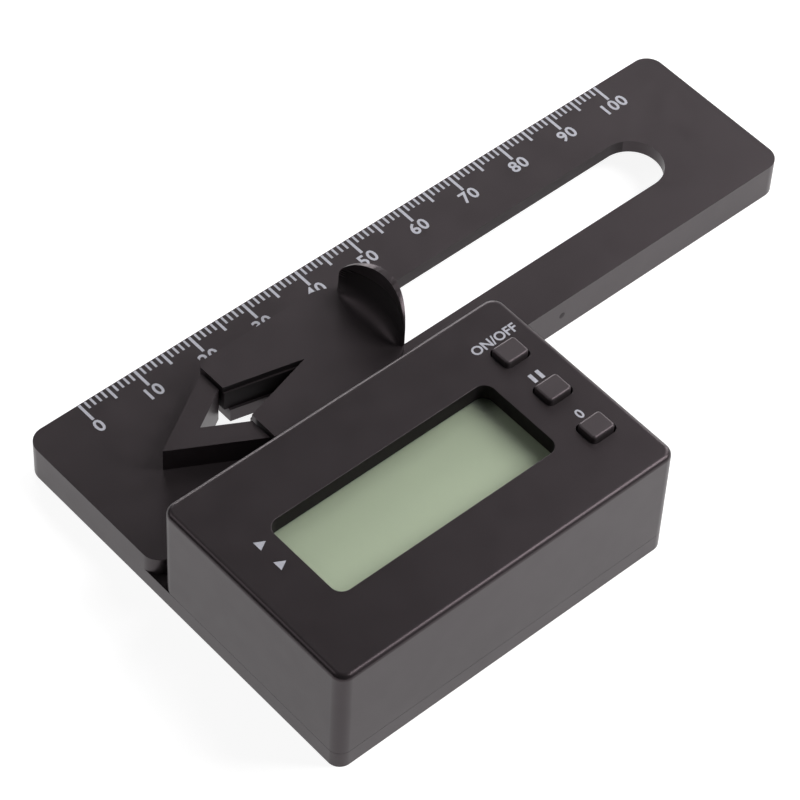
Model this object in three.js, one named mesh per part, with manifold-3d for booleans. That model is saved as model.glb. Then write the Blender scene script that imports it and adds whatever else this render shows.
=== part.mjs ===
// Digital pitch gauge: a ruled, slotted plate with a fixed V jaw, a sliding V jaw and an angle display.
// Millimetres. The origin is the middle of the overall outline on the resting face.
// +X runs along the ruler towards its high numbers, +Y points at the ruled edge, +Z is up.
import * as THREE from 'three';
import { mergeVertices } from 'three/addons/utils/BufferGeometryUtils.js';
import Module from 'manifold-3d';

const wasm = await Module();
wasm.setup();

// Ruled plate
const plateLength = 121.3;
const plateWidth = 29.35;
const plateThickness = 6.15;
const skinThickness = 2.25;
const plateRimWall = 2.2;
const plateCornerRadius = 2.8;
const ribThickness = 1.2;
const ribRecess = 0.4;
const ribPositionShares = [0.12, 0.28, 0.44, 0.6, 0.76];

// Slot that guides the sliding jaw
const slotWidth = 9.94;
const slotEndInset = 13.6;

// Fixed jaw
const jawAxisOffset = 1;
const fixedApexInset = 18.05;
const fixedJawReach = 6.4;
const fixedHalfAngle = THREE.MathUtils.degToRad(30);
const fixedArmThickness = 3.35;
const fixedJawHeight = 4.1;

// Sliding jaw
const closedGap = 0.3;
const sliderLength = 27.9;
const sliderWidth = 17.9;
const sliderHeight = 4.7;
const sliderLift = 0.2;
const sliderJawReach = 12.35;
const sliderHalfAngle = THREE.MathUtils.degToRad(14.4);
const sliderLedgeDepth = 1;
const sliderLedgeSetback = 0.3;
const sliderTaperStart = 20.5;
const sliderFrontWidth = 16.4;
const sliderFrontTaper = 1.6;
const slideClearance = 0.15;
const tongueDrop = 0.7;
const tongueEndInset = 1.1;
const tongueFrontInset = 0.6;
const tongueVeeSetback = 0.75;
const tongueDropMargin = 0.2;

// Thumb tab on the sliding jaw
const tabWidth = 14.2;
const tabHeight = 11.93;
const tabCrownHeight = 4.2;
const tabSweep = 3;
const tabThickness = 1;
const tabScoopSweep = 2.2;
const tabFilletLength = 5.05;
const tabFilletHeight = 4.6;
const tabFilletFadeShare = 0.95;

// Retainer, friction spring and screws under the slider
const retainerLength = 12.8;
const retainerWidth = 14.6;
const retainerThickness = 1.2;
const retainerEndInset = 1.6;
const retainerCornerRadius = 2.2;
const retainerRimGap = 4.1;
const springThickness = 0.25;
const springWidth = 13.2;
const springFlatWidth = 10;
const springPlateGap = 0.15;
const springEndInset = 1;
const sliderScrewSpacing = 7;
const sliderScrewLength = 5.2;
const sliderScrewRadius = 0.8;
const sliderScrewHeadRadius = 1.7;
const sliderScrewHeadHeight = 0.9;

// Display housing and the cover moulded with the plate
const housingGap = 1.15;
const housingWall = 2;
const housingTopWall = 2;
const housingCornerRadius = 2;
const housingInsideRadius = 0.8;
const housingEdgeRadius = 0.9;
const coverHeight = 3;
const coverFloor = 2;
const locatingLipWall = 0.9;
const locatingLipHeight = 1.2;
const fitClearance = 0.15;

// Screws that close the housing
const postRadius = 2.2;
const postInset = 2.1;
const postEndInset = 4.9;
const postBayGap = 0.3;
const caseScrewRadius = 1;
const caseScrewLength = 9;
const caseScrewHeadRadius = 1.9;
const caseScrewHeadHeight = 1.1;
const screwHoleClearance = 0.12;
const screwSeatGap = 0.05;

// Display window, panel and frame
const windowLeftInset = 9;
const windowFrontInset = 10.8;
const windowRearInset = 11.2;
const windowCornerRadius = 1.8;
const windowDepth = 2.85;
const windowSkirtWall = 1.4;
const windowThickness = 0.7;
const panelMargin = 1.45;
const panelThickness = 1.4;
const frameWall = 1;
const frameSwitchGap = 0.4;
const stackGap = 0.05;
const stripWidth = 1.8;
const stripHeight = 1;
const stripEndInset = 1.2;
const stripEdgeInset = 0.4;

// Circuit board
const boardThickness = 1;
const boardClearance = 0.3;
const boardEdgeGap = 0.6;
const boardBossRadius = 1.8;
const boardBossInset = 2.4;
const boardScrewRadius = 0.8;
const boardScrewLength = 4;
const boardScrewHeadRadius = 1.5;
const boardScrewHeadHeight = 0.8;

// Buttons and their switches
const buttonLength = 4.2;
const buttonWidth = 3.5;
const buttonRise = 0.85;
const buttonCornerRadius = 0.6;
const buttonEdgeRadius = 0.4;
const buttonHoleGap = 0.3;
const buttonFlange = 0.9;
const buttonFlangeThickness = 0.45;
const buttonTravel = 0.5;
const switchSize = 6;
const switchWallGap = 0.8;
const switchPostGap = 0.3;
const switchFrontGap = 0.8;
const switchClearance = 0.2;
const plungerRadius = 1.5;
const plungerGuide = 0.7;
const plungerClearance = 0.1;

// Chips and parts on the board
const controllerSize = 3.4;
const controllerHeight = 1;
const sensorSize = 3.2;
const sensorHeight = 1.2;
const crystalLength = 6;
const crystalRadius = 1;
const capacitorRadius = 1.4;
const capacitorHeight = 3;
const partsGap = 0.4;
const crystalGap = 0.55;
const controllerPlaceShare = 1 / 3;
const sensorPlaceShare = 2 / 3;

// Battery bay, cells, contacts and door
const cellRadius = 5.25;
const cellLength = 43.6;
const nubRadius = 1.9;
const nubLength = 0.9;
const cellPitch = 10.8;
const cellGap = 0.1;
const bayWall = 1;
const bayCeiling = 0.8;
const bayEndGap = 2.6;
const baySideGap = 0.3;
const contactThickness = 0.3;
const contactWidth = 6;
const contactGap = 0.1;
const contactLegWidth = 2;
const contactLegGap = 0.3;
const springWireRadius = 0.25;
const springCoilRadius = 2.1;
const springCoilTurns = 3;
const springReach = 3.4;
const springGap = 0.2;
const doorThickness = 1.2;
const doorLedge = 1.25;
const doorClearance = 0.15;
const doorCornerRadius = 1.2;
const doorHookWidth = 3;
const doorHookThickness = 0.8;
const doorHookReach = 0.9;
const doorHookGap = 0.37;
const doorNotchRadius = 5.5;
const doorNotchDepth = 0.5;
const doorNotchInset = 4.5;
const doorFingerThickness = 0.8;
const doorFingerWidth = 8;
const doorFingerHeight = 2.4;

// One overrun serves every cut
const overrun = 1;
const arcSegments = 8;
const roundSegments = 24;
const smallRoundSegments = 12;
const edgeSegments = 3;
const crownSegments = 5;
const curveSteps = 16;
const coilStepsPerTurn = 8;
const coilSides = 5;

// Battery bay, housing and stack of parts worked out from the sizes
const contactRoom = contactGap + contactThickness;
const cellRoom = nubLength + cellLength;
const bayLength = 2 * contactRoom + contactGap + cellRoom + springReach + springGap;
const bayWidth = cellPitch + 2 * cellRadius + 2 * baySideGap;
const cellAxisHeight = doorThickness + cellGap + cellRadius;
const bayTop = cellAxisHeight + cellRadius + baySideGap / 2;
const postAxisInset = housingWall + postInset;
const housingLength = bayLength + 2 * (bayWall + bayEndGap + housingWall);
const housingDepth = bayWidth + 2 * (bayWall + postBayGap + postRadius + postAxisInset);
const boardHeight = bayTop + bayCeiling + boardClearance;
const boardTop = boardHeight + boardThickness;
const partsBase = boardTop + stackGap;
const panelBottom = partsBase + stripHeight + stackGap;
const panelTop = panelBottom + panelThickness;
const windowBottom = panelTop + stackGap;
const windowTop = windowBottom + windowThickness;
const windowFloor = windowTop + stackGap;
const housingHeight = windowFloor + windowDepth;
const boardCornerInset = postEndInset + postRadius + boardEdgeGap;
const crystalRoom = crystalLength + 2 * crystalGap;
const boardBossEndInset = boardCornerInset + crystalRoom + boardBossRadius;

// Places of the plate, the jaws and the housing
const overallDepth = plateWidth + housingGap + housingDepth;
const plateLeft = -plateLength / 2;
const plateRight = plateLength / 2;
const ruledEdge = overallDepth / 2;
const plateFront = ruledEdge - plateWidth;
const skinUnderside = plateThickness - skinThickness;
const slotAxis = plateFront + plateRimWall + retainerRimGap + retainerWidth / 2;
const jawAxis = slotAxis - jawAxisOffset;
const fixedApex = plateLeft + fixedApexInset;
const fixedArmEnd = fixedApex + fixedJawReach;
const slotEnd = plateRight - slotEndInset;
const sliderFront = fixedArmEnd + closedGap;
const housingLeft = plateLeft;
const housingRight = housingLeft + housingLength;
const housingRear = plateFront - housingGap;
const housingFront = -overallDepth / 2;
const housingMiddleX = (housingLeft + housingRight) / 2;
const housingMiddleY = (housingFront + housingRear) / 2;
const bayLeft = housingMiddleX - bayLength / 2;
const bayRight = housingMiddleX + bayLength / 2;

// Buttons stand over switches that clear the walls and the posts, and the window fills what is left
const buttonRightInset = housingWall + switchWallGap + switchSize / 2;
const buttonRearInset = postAxisInset + postRadius + switchPostGap + switchSize / 2;
const buttonFrontInset = postAxisInset + postRadius + switchFrontGap + switchSize / 2;
const buttonPitch = (housingDepth - buttonRearInset - buttonFrontInset) / 2;
const buttonX = housingRight - buttonRightInset;
const firstButtonY = housingRear - buttonRearInset;
const flangeTop = housingHeight - housingTopWall - fitClearance;
const buttonBottom = flangeTop - buttonFlangeThickness;
const switchHeight = buttonBottom - buttonTravel - switchClearance - partsBase;
const switchTop = partsBase + switchHeight;
const frameInside = stackGap + fitClearance;
const frameReach = panelMargin + frameInside + frameWall;
const windowRightInset = buttonRightInset + switchSize / 2 + frameSwitchGap + frameReach;
const windowLength = housingLength - windowLeftInset - windowRightInset;
const windowWidth = housingDepth - windowFrontInset - windowRearInset;
const windowMiddleX = housingLeft + windowLeftInset + windowLength / 2;
const windowMiddleY = housingFront + windowFrontInset + windowWidth / 2;
const panelLength = windowLength + 2 * panelMargin;
const panelWidth = windowWidth + 2 * panelMargin;

// Shape helpers

function block(x0, x1, y0, y1, z0, z1) {
  const geometry = new THREE.BoxGeometry(x1 - x0, y1 - y0, z1 - z0);
  return geometry.translate((x0 + x1) / 2, (y0 + y1) / 2, (z0 + z1) / 2);
}

function extruded(shape, z0, z1, segments = arcSegments) {
  const geometry = new THREE.ExtrudeGeometry(shape, {
    depth: z1 - z0,
    bevelEnabled: false,
    curveSegments: segments,
  });
  return geometry.translate(0, 0, z0);
}

function upright(radius, z0, z1, segments = roundSegments) {
  const geometry = new THREE.CylinderGeometry(radius, radius, z1 - z0, segments);
  return geometry.rotateX(Math.PI / 2).translate(0, 0, (z0 + z1) / 2);
}

function roundedRectangle(length, width, radius) {
  const x = length / 2;
  const y = width / 2;
  const shape = new THREE.Shape();
  shape.moveTo(-x + radius, -y);
  shape.lineTo(x - radius, -y);
  shape.absarc(x - radius, -y + radius, radius, -Math.PI / 2, 0);
  shape.lineTo(x, y - radius);
  shape.absarc(x - radius, y - radius, radius, 0, Math.PI / 2);
  shape.lineTo(-x + radius, y);
  shape.absarc(-x + radius, y - radius, radius, Math.PI / 2, Math.PI);
  shape.lineTo(-x, -y + radius);
  shape.absarc(-x + radius, -y + radius, radius, Math.PI, Math.PI * 3 / 2);
  return shape;
}

function polygon(points) {
  return new THREE.Shape(points.map(([x, y]) => new THREE.Vector2(x, y)));
}

function solid(geometry) {
  const bare = geometry.clone();
  bare.deleteAttribute('normal');
  bare.deleteAttribute('uv');
  const merged = mergeVertices(bare);
  const vertProperties = new Float32Array(merged.attributes.position.array);
  const triVerts = new Uint32Array(merged.index.array);
  return new wasm.Manifold(new wasm.Mesh({ numProp: 3, vertProperties, triVerts }));
}

function joined(geometries) {
  return geometries.map(solid).reduce((whole, next) => whole.add(next));
}

function cut(body, geometries) {
  return geometries.reduce((left, geometry) => left.subtract(solid(geometry)), body);
}

function geometryOf(body) {
  const mesh = body.getMesh();
  const geometry = new THREE.BufferGeometry();
  geometry.setAttribute('position', new THREE.BufferAttribute(mesh.vertProperties, 3));
  geometry.setIndex(new THREE.BufferAttribute(mesh.triVerts, 1));
  geometry.computeVertexNormals();
  return geometry;
}

// A prism with a rounded upper edge
function crownedPrism(length, width, radius, z0, z1, edge, segments = arcSegments) {
  const shape = roundedRectangle(length, width, radius);
  const geometry = new THREE.ExtrudeGeometry(shape, {
    depth: z1 - z0,
    bevelEnabled: true,
    bevelThickness: edge,
    bevelSize: edge,
    bevelOffset: -edge,
    bevelSegments: crownSegments,
    curveSegments: segments,
  });
  geometry.translate(0, 0, z0 - edge);
  const below = block(-length, length, -width, width, z0 - 2 * edge - overrun, z0);
  return cut(solid(geometry), [below]);
}

// A screw with its head down and its shank up, its seat at z = 0
function screw(radius, length, headRadius, headHeight) {
  const profile = [
    [0, -headHeight],
    [headRadius, -headHeight],
    [headRadius, 0],
    [radius, 0],
    [radius, length - radius],
    [0, length],
  ];
  const points = profile.map(([r, z]) => new THREE.Vector2(r, z));
  return new THREE.LatheGeometry(points, smallRoundSegments).rotateX(Math.PI / 2);
}

function material(color, roughness, metalness = 0) {
  return new THREE.MeshStandardMaterial({ color, roughness, metalness });
}

const gauge = new THREE.Group();
gauge.name = 'digital_pitch_gauge';

function place(name, geometry, finish, parent = gauge, x = 0, y = 0, z = 0) {
  const mesh = new THREE.Mesh(geometry, finish);
  mesh.name = name;
  mesh.position.set(x, y, z);
  parent.add(mesh);
  return mesh;
}

const blackPlastic = { color: 0x353234, roughness: 0.62 };
const steel = { color: 0xb4b6b8, roughness: 0.35, metalness: 0.9 };

function plastic() {
  return material(blackPlastic.color, blackPlastic.roughness);
}

function metal() {
  return material(steel.color, steel.roughness, steel.metalness);
}

// Places shared by the cover, the housing and their screws
const postPlaces = [-1, 1].flatMap((sideX) => [-1, 1].map((sideY) => ({
  x: housingMiddleX + sideX * (housingLength / 2 - postEndInset),
  y: housingMiddleY + sideY * (housingDepth / 2 - postAxisInset),
})));
const boardBossPlaces = [-1, 1].flatMap((sideX) => [-1, 1].map((sideY) => ({
  x: housingMiddleX + sideX * (housingLength / 2 - boardBossEndInset),
  y: housingMiddleY + sideY * (housingDepth / 2 - housingWall - boardBossInset),
})));
const buttonPlaces = [0, 1, 2].map((row) => ({ x: buttonX, y: firstButtonY - row * buttonPitch }));
const cellRows = [-1, 1].map((side) => housingMiddleY + side * cellPitch / 2);

// Base: ruled plate, fixed jaw, housing cover and battery bay in one moulding

function plateBody() {
  const middle = (ruledEdge + plateFront) / 2;
  const outer = extruded(roundedRectangle(plateLength, plateWidth, plateCornerRadius), 0, plateThickness);
  const hollow = extruded(
    roundedRectangle(
      plateLength - 2 * plateRimWall,
      plateWidth - 2 * plateRimWall,
      plateCornerRadius - plateRimWall,
    ),
    -overrun,
    skinUnderside,
  );
  outer.translate(0, middle, 0);
  hollow.translate(0, middle, 0);
  return cut(solid(outer), [hollow]);
}

function plateRibs() {
  const channel = retainerWidth / 2 + ribThickness;
  const rimInside = ruledEdge - plateRimWall / 2;
  return ribPositionShares.flatMap((share) => {
    const x = plateLeft + share * plateLength;
    const rear = block(
      x - ribThickness / 2, x + ribThickness / 2,
      slotAxis + channel, rimInside,
      ribRecess, plateThickness - skinThickness / 2,
    );
    const front = block(
      x - ribThickness / 2, x + ribThickness / 2,
      plateFront + plateRimWall / 2, slotAxis - channel,
      ribRecess, plateThickness - skinThickness / 2,
    );
    return [rear, front];
  });
}

function fixedJaw() {
  const slope = Math.tan(fixedHalfAngle);
  const tip = fixedApex - fixedArmThickness / Math.sin(fixedHalfAngle);
  const outerHalf = slope * (fixedArmEnd - tip);
  const outline = polygon([
    [tip, jawAxis],
    [fixedArmEnd, jawAxis - outerHalf],
    [fixedArmEnd, jawAxis + outerHalf],
  ]);
  return extruded(outline, plateThickness - skinThickness / 2, plateThickness + fixedJawHeight);
}

function fixedJawNotch() {
  const past = closedGap + slideClearance;
  const half = Math.tan(fixedHalfAngle) * (fixedJawReach + past);
  const outline = polygon([
    [fixedApex, jawAxis],
    [fixedArmEnd + past, jawAxis - half],
    [fixedArmEnd + past, jawAxis + half],
  ]);
  return extruded(outline, -overrun, plateThickness + fixedJawHeight + overrun);
}

function slotCut() {
  const half = slotWidth / 2;
  const start = fixedArmEnd - slideClearance;
  const shape = new THREE.Shape();
  shape.moveTo(start, slotAxis - half);
  shape.lineTo(slotEnd - half, slotAxis - half);
  shape.absarc(slotEnd - half, slotAxis, half, -Math.PI / 2, Math.PI / 2);
  shape.lineTo(start, slotAxis + half);
  return extruded(shape, -overrun, plateThickness, 2 * arcSegments);
}

function coverPlate() {
  const outer = extruded(roundedRectangle(housingLength, housingDepth, housingCornerRadius), 0, coverHeight);
  const inner = extruded(
    roundedRectangle(
      housingLength - 2 * housingWall,
      housingDepth - 2 * housingWall,
      housingInsideRadius,
    ),
    coverFloor,
    coverHeight + overrun,
  );
  const body = cut(solid(outer), [inner]);
  return body.translate([housingMiddleX, housingMiddleY, 0]);
}

// The strip that carries the cover on the plate's front rim
function coverLink() {
  return block(
    housingLeft, housingRight,
    housingRear - housingCornerRadius, plateFront + plateCornerRadius,
    0, coverHeight,
  );
}

function coverLinkCorners() {
  return block(
    housingLeft + plateRimWall, plateRight,
    plateFront + plateRimWall, plateFront + plateCornerRadius + overrun,
    -overrun, skinUnderside,
  );
}

function locatingLip() {
  const clear = housingWall + fitClearance;
  const thick = clear + locatingLipWall;
  const outer = roundedRectangle(
    housingLength - 2 * clear,
    housingDepth - 2 * clear,
    housingInsideRadius,
  );
  const inner = extruded(
    roundedRectangle(housingLength - 2 * thick, housingDepth - 2 * thick, housingInsideRadius),
    0,
    coverHeight + locatingLipHeight + overrun,
  );
  const ring = cut(solid(extruded(outer, coverFloor / 2, coverHeight + locatingLipHeight)), [inner]);
  const body = ring.translate([housingMiddleX, housingMiddleY, 0]);
  const pockets = postPlaces.map(({ x, y }) => upright(
    postRadius + 2 * fitClearance,
    coverHeight,
    coverHeight + locatingLipHeight + overrun,
  ).translate(x, y, 0));
  return cut(body, pockets);
}

function coverBosses() {
  return postPlaces.map(({ x, y }) => upright(postRadius, coverFloor / 2, coverHeight).translate(x, y, 0));
}

function bayTub() {
  return block(
    bayLeft - bayWall, bayRight + bayWall,
    housingMiddleY - bayWidth / 2 - bayWall, housingMiddleY + bayWidth / 2 + bayWall,
    coverFloor / 2, bayTop + bayCeiling,
  );
}

function bayHollow() {
  return block(
    bayLeft, bayRight,
    housingMiddleY - bayWidth / 2, housingMiddleY + bayWidth / 2,
    -overrun, bayTop,
  );
}

function doorRecess() {
  const shape = roundedRectangle(
    bayLength + 2 * (doorLedge + doorClearance),
    bayWidth + 2 * (doorLedge + doorClearance),
    doorCornerRadius + doorClearance,
  );
  return extruded(shape, -overrun, doorThickness + doorClearance / 2)
    .translate(housingMiddleX, housingMiddleY, 0);
}

function doorHookSlot() {
  const half = doorHookWidth / 2 + 2 * doorClearance;
  return block(
    bayLeft - bayWall - overrun, bayLeft + overrun,
    housingMiddleY - half, housingMiddleY + half,
    coverFloor, coverFloor + 2 * doorHookGap + doorHookThickness,
  );
}

function contactLegSlots() {
  const half = contactLegWidth / 2 + contactLegGap;
  const deep = contactGap + contactThickness + contactLegGap;
  return cellRows.map((y) => block(
    bayLeft, bayLeft + deep,
    y - half, y + half,
    bayTop - overrun, boardHeight,
  ));
}

function caseScrewHoles() {
  return postPlaces.flatMap(({ x, y }) => {
    const shank = upright(
      caseScrewRadius + screwHoleClearance, -overrun, coverHeight + overrun, smallRoundSegments,
    );
    const head = upright(
      caseScrewHeadRadius + screwHoleClearance, -overrun, caseScrewHeadHeight + screwSeatGap,
    );
    return [shank.translate(x, y, 0), head.translate(x, y, 0)];
  });
}

function basePlate() {
  const cover = cut(coverPlate().add(joined([coverLink()])), [coverLinkCorners()]);
  const whole = plateBody()
    .add(joined(plateRibs()))
    .add(solid(fixedJaw()))
    .add(cover)
    .add(locatingLip())
    .add(joined(coverBosses()))
    .add(solid(bayTub()));
  return geometryOf(cut(whole, [
    fixedJawNotch(),
    slotCut(),
    bayHollow(),
    doorRecess(),
    doorHookSlot(),
    ...contactLegSlots(),
    ...caseScrewHoles(),
  ]));
}

place('base_plate', basePlate(), plastic());

// Display housing: the upper shell with its window, button holes, screw posts and board bosses

function housingShell() {
  const outer = crownedPrism(
    housingLength, housingDepth, housingCornerRadius,
    coverHeight + stackGap, housingHeight, housingEdgeRadius,
  );
  const inner = extruded(
    roundedRectangle(
      housingLength - 2 * housingWall,
      housingDepth - 2 * housingWall,
      housingInsideRadius,
    ),
    coverHeight - overrun,
    housingHeight - housingTopWall,
  );
  return cut(outer, [inner]).translate([housingMiddleX, housingMiddleY, 0]);
}

function housingPosts() {
  const roof = housingHeight - housingTopWall / 2;
  const tall = postPlaces.map(({ x, y }) => upright(
    postRadius, coverHeight + stackGap, roof,
  ).translate(x, y, 0));
  const short = boardBossPlaces.map(({ x, y }) => upright(
    boardBossRadius, boardTop + stackGap, roof, smallRoundSegments,
  ).translate(x, y, 0));
  return joined([...tall, ...short]);
}

function windowSkirt() {
  const shape = roundedRectangle(
    windowLength + 2 * windowSkirtWall,
    windowWidth + 2 * windowSkirtWall,
    windowCornerRadius + windowSkirtWall,
  );
  return extruded(shape, windowFloor, housingHeight - housingTopWall / 2)
    .translate(windowMiddleX, windowMiddleY, 0);
}

function windowCut() {
  return extruded(
    roundedRectangle(windowLength, windowWidth, windowCornerRadius),
    windowFloor - overrun,
    housingHeight + overrun,
  ).translate(windowMiddleX, windowMiddleY, 0);
}

function buttonHoles() {
  return buttonPlaces.map(({ x, y }) => extruded(
    roundedRectangle(
      buttonLength + 2 * buttonHoleGap,
      buttonWidth + 2 * buttonHoleGap,
      buttonCornerRadius + buttonHoleGap,
    ),
    housingHeight - housingTopWall - overrun,
    housingHeight + overrun,
    edgeSegments,
  ).translate(x, y, 0));
}

function housingPilotHoles() {
  const caseDepth = caseScrewHeadHeight + screwSeatGap + caseScrewLength + screwHoleClearance;
  const boardDepth = boardHeight + boardScrewLength + screwHoleClearance;
  const caseHoles = postPlaces.map(({ x, y }) => upright(
    caseScrewRadius + screwHoleClearance, coverHeight - overrun, caseDepth, smallRoundSegments,
  ).translate(x, y, 0));
  const boardHoles = boardBossPlaces.map(({ x, y }) => upright(
    boardScrewRadius + screwHoleClearance, boardTop - overrun, boardDepth, smallRoundSegments,
  ).translate(x, y, 0));
  return [...caseHoles, ...boardHoles];
}

function displayHousing() {
  const whole = housingShell().add(housingPosts()).add(solid(windowSkirt()));
  return geometryOf(cut(whole, [windowCut(), ...buttonHoles(), ...housingPilotHoles()]));
}

place('display_housing', displayHousing(), plastic());

const caseScrewShape = screw(caseScrewRadius, caseScrewLength, caseScrewHeadRadius, caseScrewHeadHeight);
postPlaces.forEach(({ x, y }, index) => {
  place(`case_screw_${index + 1}`, caseScrewShape, metal(), gauge, x, y, caseScrewHeadHeight);
});

// Clear window, display panel, the frame that holds both, and two connector strips

const panelGroup = new THREE.Group();
panelGroup.position.set(windowMiddleX, windowMiddleY, 0);
gauge.add(panelGroup);

function panelSheet(z0, z1) {
  return block(-panelLength / 2, panelLength / 2, -panelWidth / 2, panelWidth / 2, z0, z1);
}

place('display_window', panelSheet(windowBottom, windowTop), material(0xe6ece4, 0.1), panelGroup);
place('display_panel', panelSheet(panelBottom, panelTop), material(0x9aa78d, 0.3), panelGroup);

function panelFrame() {
  const outerX = windowLength / 2 + frameReach;
  const outerY = windowWidth / 2 + frameReach;
  const innerX = panelLength / 2 + frameInside;
  const innerY = panelWidth / 2 + frameInside;
  const outer = block(-outerX, outerX, -outerY, outerY, partsBase, windowTop);
  const inner = block(-innerX, innerX, -innerY, innerY, boardTop - overrun, windowTop + overrun);
  return geometryOf(cut(solid(outer), [inner]));
}

place('display_frame', panelFrame(), material(0xd8d8d2, 0.6), panelGroup);

const stripLength = panelLength - 2 * stripEndInset;
const stripShape = block(
  -stripLength / 2, stripLength / 2,
  -stripWidth / 2, stripWidth / 2,
  partsBase, partsBase + stripHeight,
);
const stripOffset = panelWidth / 2 - stripEdgeInset - stripWidth / 2;
place('connector_strip_rear', stripShape, material(0xb9a0a8, 0.8), panelGroup, 0, stripOffset, 0);
place('connector_strip_front', stripShape, material(0xb9a0a8, 0.8), panelGroup, 0, -stripOffset, 0);

// Circuit board with its screws, chips and switches

const boardLength = housingLength - 2 * (housingWall + boardEdgeGap);
const boardWidth = housingDepth - 2 * (housingWall + boardEdgeGap);

function circuitBoard() {
  const sheet = block(
    housingMiddleX - boardLength / 2, housingMiddleX + boardLength / 2,
    housingMiddleY - boardWidth / 2, housingMiddleY + boardWidth / 2,
    boardHeight, boardTop,
  );
  const notches = postPlaces.map(({ x, y }) => upright(
    postRadius + boardEdgeGap, boardHeight - overrun, boardTop + overrun, smallRoundSegments,
  ).translate(x, y, 0));
  const holes = boardBossPlaces.map(({ x, y }) => upright(
    boardScrewRadius + screwHoleClearance, boardHeight - overrun, boardTop + overrun, smallRoundSegments,
  ).translate(x, y, 0));
  const corners = postPlaces.map(({ x, y }) => {
    const outX = Math.sign(x - housingMiddleX);
    const outY = Math.sign(y - housingMiddleY);
    const reach = postRadius + boardEdgeGap;
    const corner = block(0, housingLength, 0, housingDepth, boardHeight - overrun, boardTop + overrun);
    corner.translate(outX > 0 ? 0 : -housingLength, outY > 0 ? 0 : -housingDepth, 0);
    return corner.translate(x - outX * reach, y, 0);
  });
  return geometryOf(cut(solid(sheet), [...notches, ...holes, ...corners]));
}

place('circuit_board', circuitBoard(), material(0x1f5a36, 0.5));

const boardScrewShape = screw(boardScrewRadius, boardScrewLength, boardScrewHeadRadius, boardScrewHeadHeight);
boardBossPlaces.forEach(({ x, y }, index) => {
  place(`board_screw_${index + 1}`, boardScrewShape, metal(), gauge, x, y, boardHeight - screwSeatGap);
});

// The parts stand in a row behind the display frame, between the bosses, the posts and the switch
const partsRow = windowMiddleY + windowWidth / 2 + frameReach + partsGap + controllerSize / 2;
const leftBossX = housingLeft + boardBossEndInset;
const rightBossX = housingRight - boardBossEndInset;
const controllerX = leftBossX + controllerPlaceShare * (rightBossX - leftBossX);
const sensorX = leftBossX + sensorPlaceShare * (rightBossX - leftBossX);
const crystalX = housingLeft + boardCornerInset + crystalRoom / 2;
const capacitorX = (rightBossX + boardBossRadius + buttonX - switchSize / 2) / 2;

const controllerShape = block(
  -controllerSize / 2, controllerSize / 2,
  -controllerSize / 2, controllerSize / 2,
  0, controllerHeight,
);
const sensorShape = block(-sensorSize / 2, sensorSize / 2, -sensorSize / 2, sensorSize / 2, 0, sensorHeight);
const crystalShape = upright(crystalRadius, 0, crystalLength, smallRoundSegments)
  .rotateY(Math.PI / 2)
  .translate(-crystalLength / 2, 0, crystalRadius);
const capacitorShape = upright(capacitorRadius, 0, capacitorHeight, smallRoundSegments);
place('controller_chip', controllerShape, material(0x18191b, 0.5), gauge,
  controllerX, partsRow, partsBase);
place('tilt_sensor', sensorShape, material(0x202224, 0.45), gauge,
  sensorX, partsRow, partsBase);
place('timing_crystal', crystalShape, metal(), gauge,
  crystalX, partsRow, partsBase);
place('capacitor', capacitorShape, material(0x2b3358, 0.4), gauge,
  capacitorX, partsRow, partsBase);

// Buttons, plungers and switches, one of each for every key

const buttonNames = ['power', 'hold', 'zero'];

function buttonShape() {
  const cap = crownedPrism(
    buttonLength, buttonWidth, buttonCornerRadius,
    buttonBottom, housingHeight + buttonRise, buttonEdgeRadius, edgeSegments,
  );
  const flange = extruded(
    roundedRectangle(
      buttonLength + 2 * buttonFlange,
      buttonWidth + 2 * buttonFlange,
      buttonCornerRadius,
    ),
    buttonBottom,
    flangeTop,
    edgeSegments,
  );
  return geometryOf(cap.add(solid(flange)));
}

function switchShape() {
  const body = block(-switchSize / 2, switchSize / 2, -switchSize / 2, switchSize / 2, 0, switchHeight);
  const well = upright(
    plungerRadius + plungerClearance,
    switchHeight - plungerGuide - buttonTravel - plungerClearance,
    switchHeight + overrun,
    smallRoundSegments,
  );
  return geometryOf(cut(solid(body), [well]));
}

const buttonGeometry = buttonShape();
const switchGeometry = switchShape();
const plungerGeometry = upright(
  plungerRadius, switchTop - plungerGuide, buttonBottom - stackGap, smallRoundSegments,
);
buttonPlaces.forEach(({ x, y }, index) => {
  const key = new THREE.Group();
  key.position.set(x, y, 0);
  gauge.add(key);
  const name = buttonNames[index];
  place(`button_${name}`, buttonGeometry, material(0x2f2c2e, 0.5), key);
  place(`switch_plunger_${name}`, plungerGeometry, material(0x1c1c1e, 0.5), key);
  place(`switch_body_${name}`, switchGeometry, material(0x8d8f92, 0.5), key, 0, 0, partsBase);
});

// Battery cells and contacts

function cellShape() {
  const profile = [
    [0, 0],
    [cellRadius, 0],
    [cellRadius, cellLength],
    [nubRadius, cellLength],
    [nubRadius, cellLength + nubLength],
    [0, cellLength + nubLength],
  ];
  const points = profile.map(([r, z]) => new THREE.Vector2(r, z));
  return new THREE.LatheGeometry(points, roundSegments);
}

// A coil with its axis along +X, starting at x = 0, on a flat seat
function coil(reach) {
  class CoilPath extends THREE.Curve {
    getPoint(share, target = new THREE.Vector3()) {
      const angle = share * springCoilTurns * 2 * Math.PI;
      return target.set(
        springWireRadius + share * (reach - 2 * springWireRadius),
        springCoilRadius * Math.cos(angle),
        springCoilRadius * Math.sin(angle),
      );
    }
  }
  const section = new THREE.Shape();
  section.absarc(0, 0, springWireRadius, 0, 2 * Math.PI);
  return new THREE.ExtrudeGeometry(section, {
    steps: springCoilTurns * coilStepsPerTurn,
    extrudePath: new CoilPath(),
    curveSegments: coilSides,
    bevelEnabled: false,
  });
}

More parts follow.
